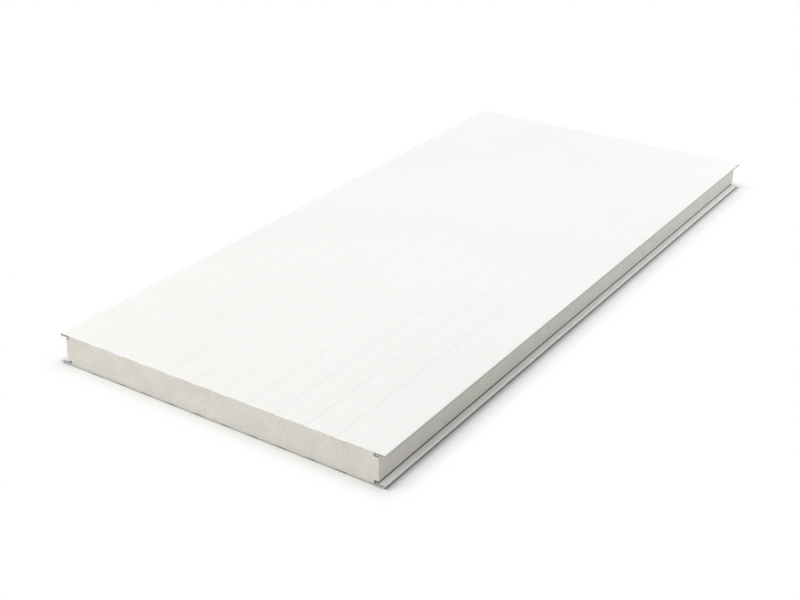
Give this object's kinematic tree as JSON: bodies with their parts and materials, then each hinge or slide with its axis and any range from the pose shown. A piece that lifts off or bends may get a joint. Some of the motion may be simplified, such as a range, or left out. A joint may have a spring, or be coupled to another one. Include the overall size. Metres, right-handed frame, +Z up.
{
  "type": "insulated sandwich panel",
  "caption": "Flat rectangular building panel of rigid foam between two shallow-ribbed white steel facings, with hemmed lips and a joint groove along both long edges.",
  "frame": {"origin": "centre of the panel's underside", "axes": "+X across the width, +Y along the length and the ribs, +Z up through the thickness"},
  "size_m": [1.18, 2.5, 0.1],
  "materials": {
    "painted_steel": "white factory-painted steel sheet, satin",
    "rigid_foam": "cream rigid foam, matt, with fine closed cells on the cut ends"
  },
  "bodies": {
    "root": {"top_steel_sheet": "painted_steel", "foam_core": "rigid_foam", "bottom_steel_sheet": "painted_steel"}
  },
  "joints": []
}
